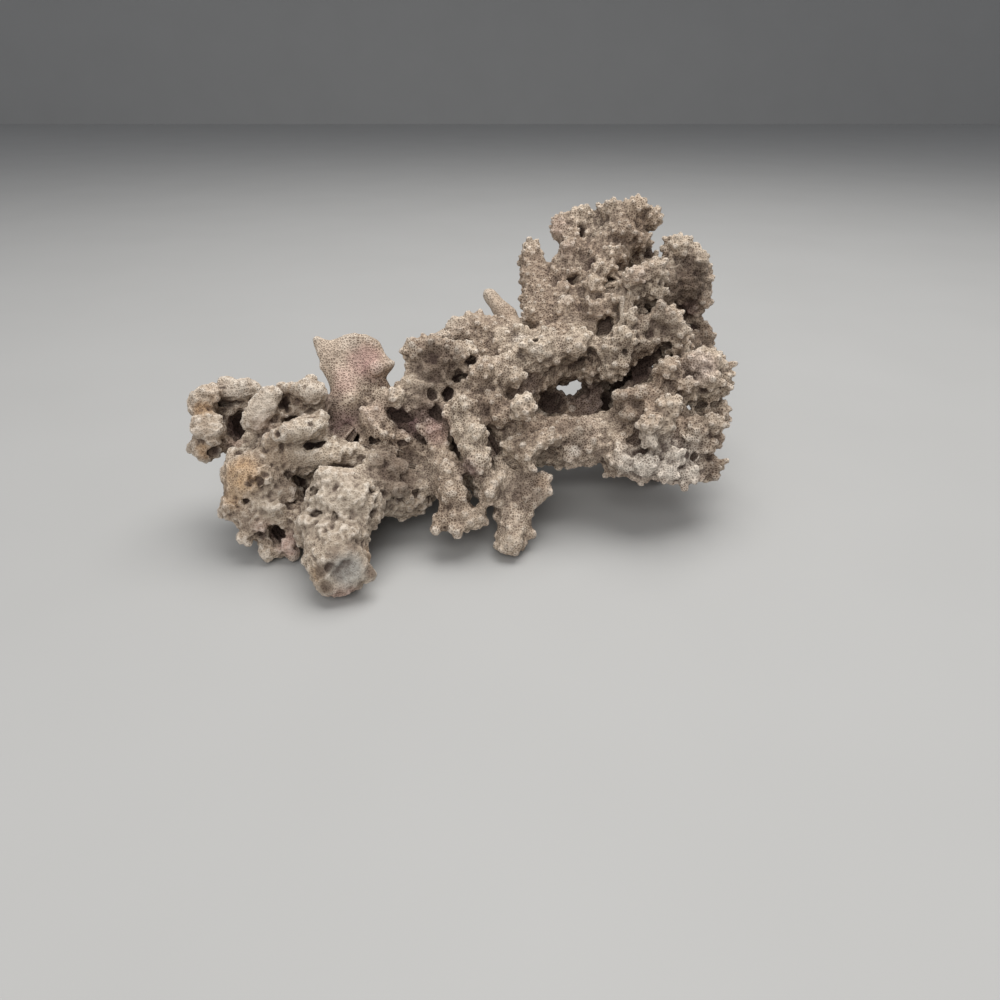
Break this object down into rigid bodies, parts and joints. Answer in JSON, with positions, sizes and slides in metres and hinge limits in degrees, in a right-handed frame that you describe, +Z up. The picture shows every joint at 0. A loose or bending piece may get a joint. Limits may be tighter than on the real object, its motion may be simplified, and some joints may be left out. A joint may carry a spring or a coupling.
{
  "type": "branching coral",
  "caption": "Dry branching coral broken from its reef, lying on its side: an old eroded base with lobes and a thin fan, a thick trunk, and a crown of knobbly branches",
  "frame": {"origin": "middle of the coral's footprint, on the table that it lies on", "axes": "+X along its length from the old base to the crown, +Y away from the side that the picture shows, +Z up"},
  "size_m": [0.241, 0.184, 0.1214],
  "materials": {
    "dry_coral": "matte, rough, full of tiny pits, grey cream",
    "old_rock": "matte, eroded, cream and tan with dirty cracks",
    "pink_coral": "matte, finely pitted, cream with a pink and mauve crust",
    "brown_coral": "matte, crumbly, dark brown"
  },
  "bodies": {
    "root": {"base": "old_rock", "left_lobes": "old_rock", "fan": "pink_coral", "tuft": "brown_coral", "trunk": "dry_coral", "stub": "dry_coral", "finger": "dry_coral", "left_branch": "dry_coral", "top_branch": "dry_coral", "upper_right_branch": "dry_coral", "middle_branch": "dry_coral", "right_branch": "dry_coral", "front_limb": "dry_coral", "front_knob": "dry_coral", "side_lobe": "dry_coral", "bottom_lobe": "dry_coral", "drooping_branch": "dry_coral", "front_finger": "dry_coral", "lowest_branch": "dry_coral", "knobbly_finger": "dry_coral", "inner_limb": "dry_coral", "back_foot": "dry_coral", "back_branch": "dry_coral", "back_right_branch": "dry_coral"}
  },
  "joints": []
}
